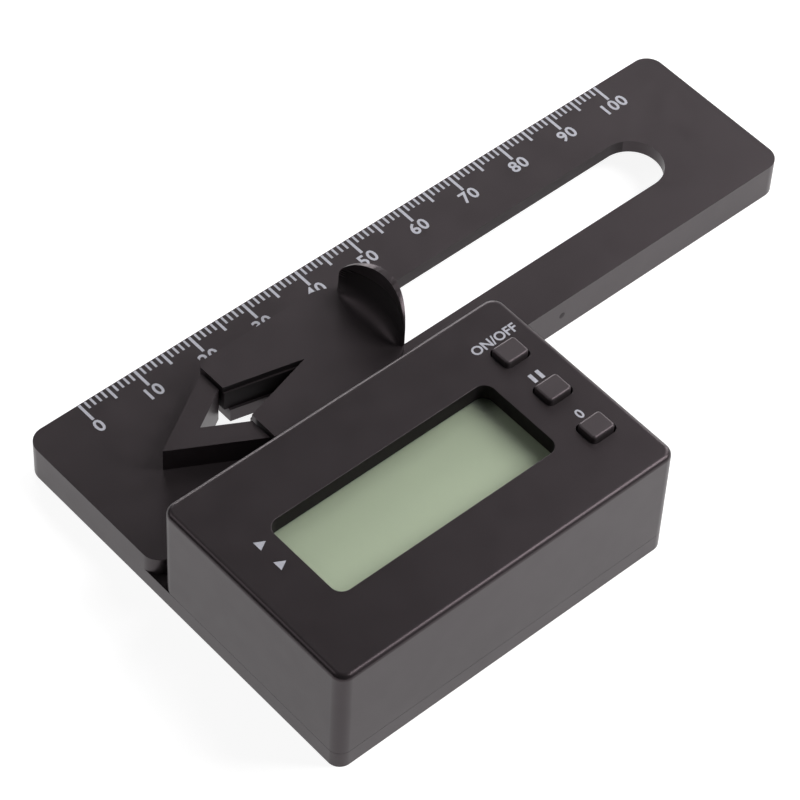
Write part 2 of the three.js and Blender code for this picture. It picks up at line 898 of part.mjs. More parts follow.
// Contact plates stand in the YZ plane, with their back at x = 0
function contactPlate(width) {
  const half = contactWidth / 2;
  return block(0, contactThickness, -width / 2, width / 2, cellAxisHeight - half, cellAxisHeight + half);
}

function contactLeg() {
  return block(
    0, contactThickness,
    -contactLegWidth / 2, contactLegWidth / 2,
    cellAxisHeight, boardHeight - stackGap,
  );
}

const cellGeometry = cellShape();
const [frontRow, rearRow] = cellRows;
const leftContactX = bayLeft + contactGap;
const rightContactX = bayRight - contactGap;
const leftNubX = leftContactX + contactThickness + contactGap;
const rightNubX = rightContactX - contactThickness - contactGap;

const frontCell = place('battery_cell_front', cellGeometry, material(0xc4a03c, 0.35, 0.4), gauge,
  leftNubX + nubLength + cellLength, frontRow, cellAxisHeight);
frontCell.rotation.z = Math.PI / 2;
const rearCell = place('battery_cell_rear', cellGeometry, material(0xc4a03c, 0.35, 0.4), gauge,
  rightNubX - nubLength - cellLength, rearRow, cellAxisHeight);
rearCell.rotation.z = -Math.PI / 2;

function coilOnPlate(direction, plateFace, y) {
  const wire = coil(springReach);
  if (direction < 0) {
    wire.rotateZ(Math.PI);
  }
  return wire.translate(plateFace - direction * springWireRadius / 2, y, cellAxisHeight);
}

const positiveContact = geometryOf(joined([contactPlate(contactWidth), contactLeg()]));
place('contact_positive', positiveContact, metal(), gauge, leftContactX, frontRow, 0);

const negativeContact = geometryOf(joined([
  contactPlate(contactWidth),
  contactLeg(),
  coilOnPlate(1, contactThickness, 0),
]));
place('contact_negative', negativeContact, metal(), gauge, leftContactX, rearRow, 0);

const bridgeWidth = cellPitch + contactWidth;
const bridgeContact = geometryOf(joined([
  contactPlate(bridgeWidth).translate(-contactThickness, 0, 0),
  coilOnPlate(-1, -contactThickness, frontRow - housingMiddleY),
]));
place('contact_bridge', bridgeContact, metal(), gauge, rightContactX, housingMiddleY, 0);

// Battery door: it drops open about its left lower edge

function batteryDoor() {
  const doorLength = bayLength + 2 * doorLedge;
  const doorWidth = bayWidth + 2 * doorLedge;
  const sheet = extruded(roundedRectangle(doorLength, doorWidth, doorCornerRadius), 0, doorThickness);
  const hookBottom = coverFloor + doorHookGap;
  const hookTop = hookBottom + doorHookThickness;
  const innerEdge = -bayLength / 2;
  const hookHalf = doorHookWidth / 2;
  const stemStart = innerEdge + 2 * doorClearance;
  const stem = block(
    stemStart, stemStart + doorHookThickness,
    -hookHalf, hookHalf,
    doorThickness / 2, hookTop,
  );
  const hook = block(
    innerEdge - doorHookReach, stemStart + doorHookThickness / 2,
    -hookHalf, hookHalf,
    hookBottom, hookTop,
  );
  const fingerEnd = bayLength / 2 - doorClearance * 2;
  const finger = block(
    fingerEnd - doorFingerThickness, fingerEnd,
    -doorFingerWidth / 2, doorFingerWidth / 2,
    doorThickness / 2, doorFingerHeight,
  );
  const notch = new THREE.SphereGeometry(doorNotchRadius, roundSegments, smallRoundSegments)
    .translate(doorLength / 2 - doorNotchInset, 0, doorNotchDepth - doorNotchRadius);
  return geometryOf(cut(joined([sheet, stem, hook, finger]), [notch]));
}

place('battery_door', batteryDoor(), plastic(), gauge, housingMiddleX, housingMiddleY, 0);

// Sliding jaw. Its own origin lies on the jaw axis at the front face, at the height of the plate's top

const slider = new THREE.Group();
slider.position.set(sliderFront, jawAxis, plateThickness);
gauge.add(slider);

const tongueOffset = slotAxis - jawAxis;
const tongueWidth = slotWidth - 2 * slideClearance;
const tongueEnd = sliderLength - tongueEndInset;
const tongueBottom = -skinThickness - tongueDrop;
const tongueDropStart = tongueEnd - retainerEndInset - retainerLength - tongueDropMargin;
const tabSideX = sliderLength - tabSweep;
const tabHalf = tabWidth / 2;

function slabOutline() {
  const half = sliderWidth / 2;
  const frontHalf = sliderFrontWidth / 2;
  const shape = new THREE.Shape();
  shape.moveTo(0, -frontHalf);
  shape.lineTo(sliderFrontTaper, -half);
  shape.lineTo(sliderTaperStart, -half);
  shape.quadraticCurveTo((sliderTaperStart + tabSideX) / 2, -half, tabSideX, -tabHalf);
  shape.quadraticCurveTo(sliderLength + tabSweep, 0, tabSideX, tabHalf);
  shape.quadraticCurveTo((sliderTaperStart + tabSideX) / 2, half, sliderTaperStart, half);
  shape.lineTo(sliderFrontTaper, half);
  shape.lineTo(0, frontHalf);
  return shape;
}

function veeNotch(setback, z0, z1) {
  const apex = sliderJawReach - setback / Math.sin(sliderHalfAngle);
  const half = Math.tan(sliderHalfAngle) * (apex + overrun);
  return extruded(polygon([[-overrun, half], [-overrun, -half], [apex, 0]]), z0, z1);
}

// The tongue is flush with the plate's skin beside the V and stands below it over the retainer
function tongue(start, bottom) {
  const half = tongueWidth / 2;
  const shape = new THREE.Shape();
  shape.moveTo(start, tongueOffset - half);
  shape.lineTo(tongueEnd - half, tongueOffset - half);
  shape.absarc(tongueEnd - half, tongueOffset, half, -Math.PI / 2, Math.PI / 2);
  shape.lineTo(start, tongueOffset + half);
  return extruded(shape, bottom, sliderHeight / 2);
}

// Everything beside and over the tab's rounded front view, stood up across the slider
function besideTab() {
  const straight = tabHeight - tabCrownHeight;
  const reach = sliderWidth / 2 + overrun;
  const around = new THREE.Shape();
  around.moveTo(-reach, sliderHeight);
  around.lineTo(-tabHalf, sliderHeight);
  around.lineTo(-tabHalf, straight);
  around.absellipse(0, straight, tabHalf, tabCrownHeight, Math.PI, 0, true);
  around.lineTo(tabHalf, sliderHeight);
  around.lineTo(reach, sliderHeight);
  around.lineTo(reach, tabHeight + overrun);
  around.lineTo(-reach, tabHeight + overrun);
  return extruded(around, -overrun, sliderLength + overrun, curveSteps)
    .rotateX(Math.PI / 2)
    .rotateZ(Math.PI / 2);
}

// The hollow in front of the tab: its wall follows the tab's sweep and its fillet dies out at both ends
function tabScoop() {
  const inner = sliderLength - tabThickness;
  const width = tabWidth + 2 * overrun;
  const side = new THREE.Shape();
  side.moveTo(-sliderLength, sliderHeight);
  side.lineTo(inner - tabFilletLength, sliderHeight);
  side.absellipse(
    inner - tabFilletLength, sliderHeight + tabFilletHeight,
    tabFilletLength, tabFilletHeight,
    -Math.PI / 2, 0,
  );
  side.lineTo(inner, tabHeight + 2 * overrun);
  side.lineTo(-sliderLength, tabHeight + 2 * overrun);
  const scoop = new THREE.ExtrudeGeometry(side, {
    depth: width,
    steps: curveSteps,
    bevelEnabled: false,
    curveSegments: arcSegments,
  });
  scoop.rotateX(Math.PI / 2).translate(0, width / 2, 0);
  const position = scoop.attributes.position;
  for (let index = 0; index < position.count; index += 1) {
    const across = THREE.MathUtils.clamp(position.getY(index) / tabHalf, -1, 1);
    const bend = across * across;
    const reach = inner - position.getX(index);
    if (position.getX(index) > 0) {
      position.setX(index, inner - tabScoopSweep * bend - reach * (1 - tabFilletFadeShare * bend));
    }
  }
  return scoop;
}

const retainerMiddle = tongueEnd - retainerEndInset - retainerLength / 2;
const sliderScrewPlaces = [-1, 1].map((side) => retainerMiddle + side * sliderScrewSpacing / 2);
const retainerTop = tongueBottom - springThickness - 2 * screwSeatGap;
const retainerBottom = retainerTop - retainerThickness;

function sliderScrewHoles(z0, z1) {
  return sliderScrewPlaces.map((x) => upright(
    sliderScrewRadius + screwHoleClearance, z0, z1, smallRoundSegments,
  ).translate(x, tongueOffset, 0));
}

function sliderJaw() {
  const ledgeTop = sliderHeight - sliderLedgeDepth;
  const tall = extruded(slabOutline(), sliderLift, tabHeight, curveSteps);
  const whole = cut(solid(tall), [besideTab(), tabScoop()])
    .add(solid(tongue(tongueFrontInset, -skinThickness)))
    .add(solid(tongue(tongueDropStart, tongueBottom)));
  const screwTop = retainerBottom + sliderScrewLength + screwHoleClearance;
  return geometryOf(cut(whole, [
    veeNotch(0, ledgeTop, tabHeight + overrun),
    veeNotch(sliderLedgeSetback, sliderLift, ledgeTop + overrun),
    veeNotch(tongueVeeSetback, tongueBottom - overrun, sliderLift + overrun),
    ...sliderScrewHoles(tongueBottom - overrun, screwTop),
  ]));
}

place('slider_jaw', sliderJaw(), plastic(), slider);

function retainer() {
  const sheet = extruded(
    roundedRectangle(retainerLength, retainerWidth, retainerCornerRadius),
    retainerBottom,
    retainerTop,
    edgeSegments,
  ).translate(retainerMiddle, tongueOffset, 0);
  return geometryOf(cut(solid(sheet), sliderScrewHoles(retainerBottom - overrun, retainerTop + overrun)));
}

place('slider_retainer', retainer(), plastic(), slider);

// A leaf whose two wings bear on the underside of the plate
function frictionSpring() {
  const low = retainerTop + screwSeatGap;
  const high = -skinThickness - springPlateGap - springThickness;
  const flat = springFlatWidth / 2;
  const edge = springWidth / 2;
  const outline = polygon([
    [-edge, high],
    [-flat, low],
    [flat, low],
    [edge, high],
    [edge, high + springThickness],
    [flat, low + springThickness],
    [-flat, low + springThickness],
    [-edge, high + springThickness],
  ]);
  const leafLength = retainerLength - 2 * springEndInset;
  const leaf = extruded(outline, -leafLength / 2, leafLength / 2)
    .rotateX(Math.PI / 2)
    .rotateZ(Math.PI / 2)
    .translate(retainerMiddle, tongueOffset, 0);
  return geometryOf(cut(solid(leaf), sliderScrewHoles(retainerBottom, 0)));
}

place('friction_spring', frictionSpring(), metal(), slider);

const sliderScrewShape = screw(
  sliderScrewRadius, sliderScrewLength, sliderScrewHeadRadius, sliderScrewHeadHeight,
);
sliderScrewPlaces.forEach((x, index) => {
  place(`slider_screw_${index + 1}`, sliderScrewShape, metal(), slider,
    x, tongueOffset, retainerBottom - screwSeatGap);
});

export default gauge;
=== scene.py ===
import math

import bmesh
import bpy
from mathutils import Matrix, Vector


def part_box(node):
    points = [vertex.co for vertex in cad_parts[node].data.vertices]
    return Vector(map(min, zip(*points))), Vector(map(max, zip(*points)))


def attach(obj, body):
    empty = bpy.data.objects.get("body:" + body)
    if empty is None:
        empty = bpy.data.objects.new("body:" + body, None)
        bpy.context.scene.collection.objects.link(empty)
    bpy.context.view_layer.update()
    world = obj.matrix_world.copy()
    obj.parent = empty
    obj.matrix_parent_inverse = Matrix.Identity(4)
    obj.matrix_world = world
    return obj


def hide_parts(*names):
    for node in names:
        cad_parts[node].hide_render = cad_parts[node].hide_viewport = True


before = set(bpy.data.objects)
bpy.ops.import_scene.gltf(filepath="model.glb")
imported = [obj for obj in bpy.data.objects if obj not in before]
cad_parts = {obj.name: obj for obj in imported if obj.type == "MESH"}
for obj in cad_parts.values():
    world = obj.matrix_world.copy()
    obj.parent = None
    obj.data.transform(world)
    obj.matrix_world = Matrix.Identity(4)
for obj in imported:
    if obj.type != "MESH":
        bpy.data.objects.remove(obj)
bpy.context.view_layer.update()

MM = 0.001
scene = bpy.context.scene
scene.view_settings.view_transform = "Standard"

# Camera: a long lens over the left front corner of the gauge, as in the photograph.
# Its place, turn and lens follow from the printed scale and the edges of the plate and the housing.
CAMERA_PLACE_MM = (-240.92, -229.65, 394.70)
CAMERA_TURN_DEGREES = (39.942, -2.203, -41.344)
CAMERA_LENS_MM = 160.72
CAMERA_SENSOR_MM = 36
CAMERA_SHIFT = (-0.00923, -0.0001)
CAMERA_NEAR = 10 * MM
camera_data = bpy.data.cameras.new("camera")
camera_data.lens = CAMERA_LENS_MM
camera_data.sensor_width = CAMERA_SENSOR_MM
camera_data.shift_x, camera_data.shift_y = CAMERA_SHIFT
camera_data.clip_start = CAMERA_NEAR
camera = bpy.data.objects.new("camera", camera_data)
camera.location = Vector(CAMERA_PLACE_MM) * MM
camera.rotation_euler = [math.radians(turn) for turn in CAMERA_TURN_DEGREES]
scene.collection.objects.link(camera)
scene.camera = camera

# Floor: a plain white sweep under the gauge, which keeps the gauge's soft shadow.
# Seen directly, in a reflection or through the window it glows a little, so that it reads as white.
FLOOR_HALF_WIDTH = 1500 * MM
FLOOR_DROP = 0.05 * MM
FLOOR_COLOUR = (0.9, 0.9, 0.9, 1)
FLOOR_LIFT = 0.60
FLOOR_GLOW = 1.5
FLOOR_GLOW_COLOUR = (1, 1, 1, 1)


# A field is one shader value, and sums and products of fields add the maths nodes
class Field:
    def __init__(self, nodes, socket):
        self.nodes = nodes
        self.socket = socket

    def combine(self, operation, first, second):
        return self.nodes.node("ShaderNodeMath", {"operation": operation}, {0: first, 1: second})

    def __add__(self, other):
        return self.combine("ADD", self, other)

    def __radd__(self, other):
        return self.combine("ADD", other, self)

    def __mul__(self, other):
        return self.combine("MULTIPLY", self, other)

    def __rmul__(self, other):
        return self.combine("MULTIPLY", other, self)


# A node tree that starts empty, with one method that adds any node and sets it up before its values go in
class Nodes:
    def __init__(self, owner):
        owner.use_nodes = True
        self.tree = owner.node_tree
        self.tree.nodes.clear()

    def node(self, kind, settings=None, values=None, out=0):
        made = self.tree.nodes.new(kind)
        for name, value in (settings or {}).items():
            if name == "stops":
                ramp = made.color_ramp
                while len(ramp.elements) < len(value):
                    ramp.elements.new(1)
                for element, (position, shade) in zip(ramp.elements, value):
                    element.position = position
                    element.color = (shade, shade, shade, 1)
            else:
                setattr(made, name, value)
        for name, value in (values or {}).items():
            if isinstance(value, Field):
                self.tree.links.new(value.socket, made.inputs[name])
            else:
                made.inputs[name].default_value = value
        return Field(self, made.outputs[out]) if made.outputs else made

    def seen_by(self, first, *others):
        seen = self.node("ShaderNodeLightPath", out=f"Is {first} Ray")
        for ray in others:
            seen = seen + self.node("ShaderNodeLightPath", out=f"Is {ray} Ray")
        return seen


# A finish is one material, whose patterns follow the Object coordinates of the piece
class Finish(Nodes):
    def __init__(self, name):
        self.material = bpy.data.materials.new(name)
        super().__init__(self.material)
        self.place = self.node("ShaderNodeTexCoord", out="Object")

    def noise(self, scale, detail=2, stretch=(1, 1, 1)):
        place = self.node("ShaderNodeMapping", None, {"Vector": self.place, "Scale": stretch})
        values = {"Vector": place, "Scale": scale, "Detail": detail}
        return self.node("ShaderNodeTexNoise", None, values, "Fac")

    def steps(self, field, low, high):
        return self.node("ShaderNodeValToRGB", {"stops": [(low, 0), (high, 1)]}, {"Fac": field}, "Color")

    def mix(self, share, first, second):
        values = {0: share, 6: (*first, 1), 7: (*second, 1)}
        return self.node("ShaderNodeMix", {"data_type": "RGBA"}, values, 2)

    def grain(self, height, distance):
        return self.node("ShaderNodeBump", None, {"Height": height, "Distance": distance, "Strength": 1})

    def surface(self, **values):
        sockets = {}
        for name, value in values.items():
            sockets[name.replace("_", " ").title().replace("Ior", "IOR")] = value
        shader = self.node("ShaderNodeBsdfPrincipled", None, sockets)
        self.node("ShaderNodeOutputMaterial", None, {"Surface": shader})
        return self.material


def dress(piece, material):
    piece.data.materials.clear()
    piece.data.materials.append(material)


floor_mesh = bmesh.new()
bmesh.ops.create_grid(floor_mesh, x_segments=1, y_segments=1, size=FLOOR_HALF_WIDTH)
bmesh.ops.translate(floor_mesh, vec=(0, 0, -FLOOR_DROP), verts=floor_mesh.verts)
floor_data = bpy.data.meshes.new("floor")
floor_mesh.to_mesh(floor_data)
floor_mesh.free()
floor = bpy.data.objects.new("floor", floor_data)
scene.collection.objects.link(floor)

paper = Finish("floor_paper")
matt = paper.node("ShaderNodeBsdfDiffuse", None, {"Color": FLOOR_COLOUR})
glow = paper.node("ShaderNodeEmission", None, {"Color": FLOOR_GLOW_COLOUR, "Strength": FLOOR_GLOW})
lift = paper.seen_by("Camera", "Glossy", "Transmission") * FLOOR_LIFT
lifted = paper.node("ShaderNodeMixShader", None, {0: lift, 1: matt, 2: glow})
paper.node("ShaderNodeOutputMaterial", None, {"Surface": lifted})
dress(floor, paper.material)

# Studio: what is seen past the floor is white, and the room itself is dark.
# A tall soft box at the front right is the main light. Low boxes at the right and behind draw the edges,
# and a weak card fills the left.
ROOM_LEVEL = 0.05
BACKDROP_LEVEL = 1
world = bpy.data.worlds.new("studio")
scene.world = world
studio = Nodes(world)
room = studio.node("ShaderNodeBackground", None, {"Strength": ROOM_LEVEL})
backdrop = studio.node("ShaderNodeBackground", None, {"Strength": BACKDROP_LEVEL})
seen = studio.seen_by("Camera", "Transmission")
sky = studio.node("ShaderNodeMixShader", None, {0: seen, 1: room, 2: backdrop})
studio.node("ShaderNodeOutputWorld", None, {"Surface": sky})

# Each box has an azimuth (0 is the side of -Y) and a height in degrees, a width, a tallness and a power
BOX_DISTANCE = 0.60
SOFT_BOXES = (
    ("main_box", 48, 46, 0.20, 0.38, 2.45),
    ("rear_low_box", 149, 20, 0.28, 0.20, 1.32),
    ("right_box", 100, 25, 0.28, 0.28, 1.05),
    ("right_high_box", 100, 45, 0.28, 0.28, 0.60),
    ("right_low_box", 122, 20, 0.28, 0.28, 0.20),
    ("left_card", 225, 45, 0.28, 0.28, 0.36),
)
for name, azimuth, height, width, tallness, power in SOFT_BOXES:
    lamp_data = bpy.data.lights.new(name, "AREA")
    lamp_data.shape = "RECTANGLE"
    lamp_data.size = width
    lamp_data.size_y = tallness
    lamp_data.energy = power
    lamp = bpy.data.objects.new(name, lamp_data)
    around = math.radians(azimuth)
    up = math.radians(height)
    towards = Vector((math.sin(around) * math.cos(up), -math.cos(around) * math.cos(up), math.sin(up)))
    lamp.location = towards * BOX_DISTANCE
    lamp.rotation_euler = towards.to_track_quat("Z", "Y").to_euler()
    scene.collection.objects.link(lamp)

# Base moulding: the ruled plate, the fixed jaw and the housing's cover, one piece of black matt plastic.
# Its outer edges are softened as a mould leaves them, and its skin has a fine spark-eroded grain.
# The far wall of its slot is duller than the rest.
BASE_COLOUR = (0.028, 0.0235, 0.0252)
BASE_EDGE = 0.22 * MM
EDGE_ROUNDS = 3
MERGE_GAP = 0.001 * MM
FLAT_BELOW_DEGREES = 0.5
SHARP_ABOVE_DEGREES = 33
SMOOTH_BELOW_DEGREES = 40
FACE_WEIGHT = 90
PLASTIC_SHEEN = (1.0, 0.82, 0.89, 1)
PLASTIC_ROUGHNESS = 0.34
ROUGHNESS_SPREAD = 0.08
ROUGHNESS_SCALE = 260
PLASTIC_GLOSS = 0.5
PATCH_SCALE = 45
PATCH_STEPS = (0.35, 0.7)
PATCH_SHARES = (0.86, 1.12)
FINE_GRAIN_SCALE = 5200
COARSE_GRAIN_SCALE = 1900
COARSE_GRAIN_SHARE = 0.5
GRAIN_HEIGHT = 0.005 * MM
COVER_TOP_MM = 3.0
COVER_MARGIN_MM = 0.01
SLOT_MARGIN = 5 * MM
SLOT_WALL_FACING = -0.9
SLOT_WALL_ROUGHNESS = 0.5
SLOT_WALL_GLOSS = 0.25


def shaded(colour, share):
    return tuple(channel * share for channel in colour)


def black_plastic(name, colour, roughness=PLASTIC_ROUGHNESS, gloss=PLASTIC_GLOSS, grain_height=GRAIN_HEIGHT):
    finish = Finish(name)
    patches = finish.steps(finish.noise(PATCH_SCALE, detail=3), *PATCH_STEPS)
    fine_grain = finish.noise(FINE_GRAIN_SCALE)
    coarse_grain = finish.noise(COARSE_GRAIN_SCALE, detail=1)
    darker, lighter = [shaded(colour, share) for share in PATCH_SHARES]
    return finish.surface(
        base_color=finish.mix(patches, darker, lighter),
        roughness=roughness - ROUGHNESS_SPREAD / 2 + ROUGHNESS_SPREAD * finish.noise(ROUGHNESS_SCALE),
        specular_ior_level=gloss,
        specular_tint=PLASTIC_SHEEN,
        normal=finish.grain(fine_grain + coarse_grain * COARSE_GRAIN_SHARE, grain_height),
    )


# A shape as a piece, shaded smooth except across its sharp edges
def finished(shape, name, smooth_below=SMOOTH_BELOW_DEGREES):
    data = bpy.data.meshes.new(name)
    shape.to_mesh(data)
    shape.free()
    data.shade_smooth()
    data.set_sharp_from_angle(angle=math.radians(smooth_below))
    piece = bpy.data.objects.new(name, data)
    scene.collection.objects.link(piece)
    weights = piece.modifiers.new("even_shading", "WEIGHTED_NORMAL")
    weights.keep_sharp = True
    weights.weight = FACE_WEIGHT
    return piece


# A copy of a solid with some sharp edges rounded, which are chosen by their two ends in millimetres
def softened(node, name, radius, chosen, rounds=EDGE_ROUNDS):
    shape = bmesh.new()
    shape.from_mesh(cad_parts[node].data)
    bmesh.ops.remove_doubles(shape, verts=shape.verts, dist=MERGE_GAP)
    bmesh.ops.dissolve_limit(
        shape, angle_limit=math.radians(FLAT_BELOW_DEGREES),
        verts=shape.verts, edges=shape.edges, delimit={"NORMAL"},
    )
    sharp = [
        edge for edge in shape.edges
        if len(edge.link_faces) == 2
        and edge.calc_face_angle(0) > math.radians(SHARP_ABOVE_DEGREES)
        and chosen(*[vert.co / MM for vert in edge.verts])
    ]
    bmesh.ops.bevel(
        shape, geom=sharp, offset=radius, offset_type="OFFSET", affect="EDGES",
        segments=rounds, profile=0.5, material=-1, clamp_overlap=True, loop_slide=True,
    )
    return finished(shape, name)


# The faces that are chosen by their middle and their normal get a material of their own
def cover_faces(piece, material, chosen):
    piece.data.materials.append(material)
    for face in piece.data.polygons:
        if chosen(face.center, face.normal):
            face.material_index = len(piece.data.materials) - 1


housing_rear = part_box("display_housing")[1][1]
housing_rear_mm = housing_rear / MM


# What stands up inside the housing keeps its sharp edges
def outside_of_housing(first, second):
    under_it = max(first.y, second.y) < housing_rear_mm
    above_cover = max(first.z, second.z) > COVER_TOP_MM + COVER_MARGIN_MM
    return not (under_it and above_cover)


base = softened("base_plate", "ruled_base", BASE_EDGE, outside_of_housing)
base_black = black_plastic("base_black", BASE_COLOUR)
dress(base, base_black)
cover_faces(
    base, black_plastic("slot_wall_black", BASE_COLOUR, SLOT_WALL_ROUGHNESS, SLOT_WALL_GLOSS),
    lambda middle, normal: normal.y < SLOT_WALL_FACING and middle.y > housing_rear + SLOT_MARGIN,
)
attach(base, "frame")
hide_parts("base_plate")

# Ruler: a millimetre scale and a number every ten, printed in white ink along the plate's rear edge.
# Every fifth line is longer and every tenth the longest. The ink is a thin film on the plastic.
INK_WHITE = (0.50, 0.50, 0.56)
INK_FILM = 0.02 * MM
INK_ROUGHNESS = 0.5
INK_ROUGHNESS_SPREAD = 0.1
INK_ROUGHNESS_SCALE = 900
INK_WEAR_SCALE = 2600
INK_WEAR_STEPS = (0.2, 0.6)
INK_WORN_SHARE = 0.8
RULER_END = 100
RULER_PITCH = 1 * MM
RULER_START = 9.5 * MM
LINE_LENGTHS = {10: 3.45 * MM, 5: 2.45 * MM, 1: 1.5 * MM}
LINE_WIDTHS = {10: 0.46 * MM, 5: 0.42 * MM, 1: 0.36 * MM}
LINE_EDGE_GAP = 0.1 * MM
NUMBER_EVERY = 10
NUMBER_HEIGHT = 2.25 * MM
NUMBERS_INSET = 4.8 * MM
NUMBER_SPACING = 1.1
NUMBER_WEIGHT = 0.022
LETTER_STEPS = 3
PLATE_END_SHARE = 0.8


def film(shape, x0, x1, y0, y1, z):
    made = bmesh.ops.create_cube(shape, size=1)["verts"]
    bmesh.ops.scale(shape, vec=(x1 - x0, y1 - y0, INK_FILM), verts=made)
    bmesh.ops.translate(shape, vec=((x0 + x1) / 2, (y0 + y1) / 2, z + INK_FILM / 2), verts=made)


# Words laid flat, centred on a place, scaled to a height and as thick as the film
def lettered(shape, words, x, y, z, height, weight, spacing=1.0):
    curve = bpy.data.curves.new("words", "FONT")
    curve.body = words
    curve.offset = weight
    curve.extrude = 1
    curve.space_character = spacing
    curve.resolution_u = LETTER_STEPS
    holder = bpy.data.objects.new("words", curve)
    scene.collection.objects.link(holder)
    flat = bpy.data.meshes.new_from_object(holder.evaluated_get(bpy.context.evaluated_depsgraph_get()))
    bpy.data.objects.remove(holder)
    bpy.data.curves.remove(curve)
    across = [vert.co.x for vert in flat.vertices]
    upward = [vert.co.y for vert in flat.vertices]
    size = height / (max(upward) - min(upward))
    middle = Vector(((min(across) + max(across)) / 2, (min(upward) + max(upward)) / 2, 0))
    for vert in flat.vertices:
        rise = INK_FILM if vert.co.z > 0 else 0
        spot = (vert.co - middle) * size + Vector((x, y, 0))
        vert.co = (spot.x, spot.y, z + rise)
    shape.from_mesh(flat)
    bpy.data.meshes.remove(flat)


def printed(shape, name, ink):
    bmesh.ops.remove_doubles(shape, verts=shape.verts, dist=MERGE_GAP)
    bmesh.ops.recalc_face_normals(shape, faces=shape.faces)
    data = bpy.data.meshes.new(name)
    shape.to_mesh(data)
    shape.free()
    piece = bpy.data.objects.new(name, data)
    scene.collection.objects.link(piece)
    dress(piece, ink)
    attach(piece, "frame")


def white_ink(name):
    ink = Finish(name)
    worn = ink.steps(ink.noise(INK_WEAR_SCALE, detail=3), *INK_WEAR_STEPS)
    return ink.surface(
        base_color=ink.mix(worn, shaded(INK_WHITE, INK_WORN_SHARE), INK_WHITE),
        roughness=INK_ROUGHNESS + INK_ROUGHNESS_SPREAD * ink.noise(INK_ROUGHNESS_SCALE),
    )


# The plate's top is read at its right end, past the housing and the jaws
plate_low, plate_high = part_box("base_plate")
plate_corners = [vert.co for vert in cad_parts["base_plate"].data.vertices]
plate_top = max(corner.z for corner in plate_corners if corner.x > plate_high.x * PLATE_END_SHARE)
lines = bmesh.new()
numbers = bmesh.new()
for count in range(RULER_END + 1):
    kind = next(step for step in LINE_LENGTHS if count % step == 0)
    x = plate_low.x + RULER_START + count * RULER_PITCH
    half = LINE_WIDTHS[kind] / 2
    film(
        lines, x - half, x + half,
        plate_high.y - LINE_LENGTHS[kind], plate_high.y - LINE_EDGE_GAP, plate_top,
    )
    if kind == NUMBER_EVERY:
        lettered(
            numbers, str(count), x, plate_high.y - NUMBERS_INSET, plate_top,
            NUMBER_HEIGHT, NUMBER_WEIGHT, NUMBER_SPACING,
        )
printed(lines, "ruler_lines", white_ink("ink_lines"))
printed(numbers, "ruler_numbers", white_ink("ink_numbers"))

# Gate mark: a small round scar in the plate's front face, where the plastic was let into the mould.
# The runner was broken off there, so it is rough and stands a little proud of the face.
GATE_COLOUR = (0.012, 0.0108, 0.0115)
GATE_ROUGHNESS = 0.6
GATE_GRAIN = 0.02 * MM
GATE_RADIUS = 0.55 * MM
GATE_TAPER = 0.9
GATE_SEGMENTS = 24
GATE_SMOOTH_BELOW_DEGREES = 20
GATE_PLACE = (15.3 * MM, 3.1 * MM)
GATE_RISE = 0.01 * MM
PLATE_FRONT_SHARE = 0.5
gate_face = min(corner.y for corner in plate_corners if corner.x > plate_high.x * PLATE_FRONT_SHARE)
gate_x, gate_z = GATE_PLACE
scar = bmesh.new()
bmesh.ops.create_cone(
    scar, cap_ends=True, segments=GATE_SEGMENTS,
    radius1=GATE_RADIUS, radius2=GATE_RADIUS * GATE_TAPER, depth=GATE_RISE,
    matrix=Matrix.Translation((gate_x, gate_face - GATE_RISE / 2, gate_z))
    @ Matrix.Rotation(math.radians(90), 4, "X"),
)
gate = finished(scar, "gate_mark", GATE_SMOOTH_BELOW_DEGREES)
dress(gate, black_plastic("gate_black", GATE_COLOUR, GATE_ROUGHNESS, grain_height=GATE_GRAIN))
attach(gate, "frame")

# Display housing: the upper shell, the same plastic, held down on the base by four screws from below.
# The walls of its window are duller than the rest, and painted darker as the shade of the recess.
HOUSING_COLOUR = (0.0215, 0.0179, 0.0193)
HOUSING_EDGE = 0.12 * MM
HOUSING_SOFT_ABOVE_MM = 3.2
# Painted shade: the window's walls get a darker colour than the housing.
WINDOW_WALL_SHADE_COLOUR = (0.010, 0.0092, 0.0096)
WINDOW_WALL_ROUGHNESS = 0.72
WINDOW_WALL_GLOSS = 0.3
WINDOW_WALL_LEAN = 0.5
housing = softened(
    "display_housing", "housing_shell", HOUSING_EDGE,
    lambda first, second: min(first.z, second.z) > HOUSING_SOFT_ABOVE_MM,
)
dress(housing, black_plastic("housing_black", HOUSING_COLOUR))
frame_low, frame_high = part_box("display_frame")
# The window's walls take the darker colour, which is painted shade of the recess.
cover_faces(
    housing,
    black_plastic("window_wall_painted_shade", WINDOW_WALL_SHADE_COLOUR, WINDOW_WALL_ROUGHNESS, WINDOW_WALL_GLOSS),
    lambda middle, normal: abs(normal.z) < WINDOW_WALL_LEAN
    and frame_low.x < middle.x < frame_high.x and frame_low.y < middle.y < frame_high.y,
)
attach(housing, "frame")
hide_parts("display_housing")

# Sliding jaw: one moulding with its thumb tab and the tongue that runs in the slot, in the same plastic.
# The hollow in front of the tab gets rougher, and darker the higher it rises: that darkening is painted
# shade. The walls of the V are dull and painted darker, as shade.
JAW_COLOUR = (0.030, 0.0252, 0.027)
JAW_EDGE = 0.25 * MM
JAW_END = 2 * MM
# Painted shade: the walls of the V get a darker colour than the jaw.
JAW_WALL_SHADE_COLOUR = (0.012, 0.0108, 0.0115)
JAW_WALL_ROUGHNESS = 0.6
JAW_WALL_GLOSS = 0.2
JAW_WALL_FACING = -0.2
JAW_WALL_LEAN = 0.3
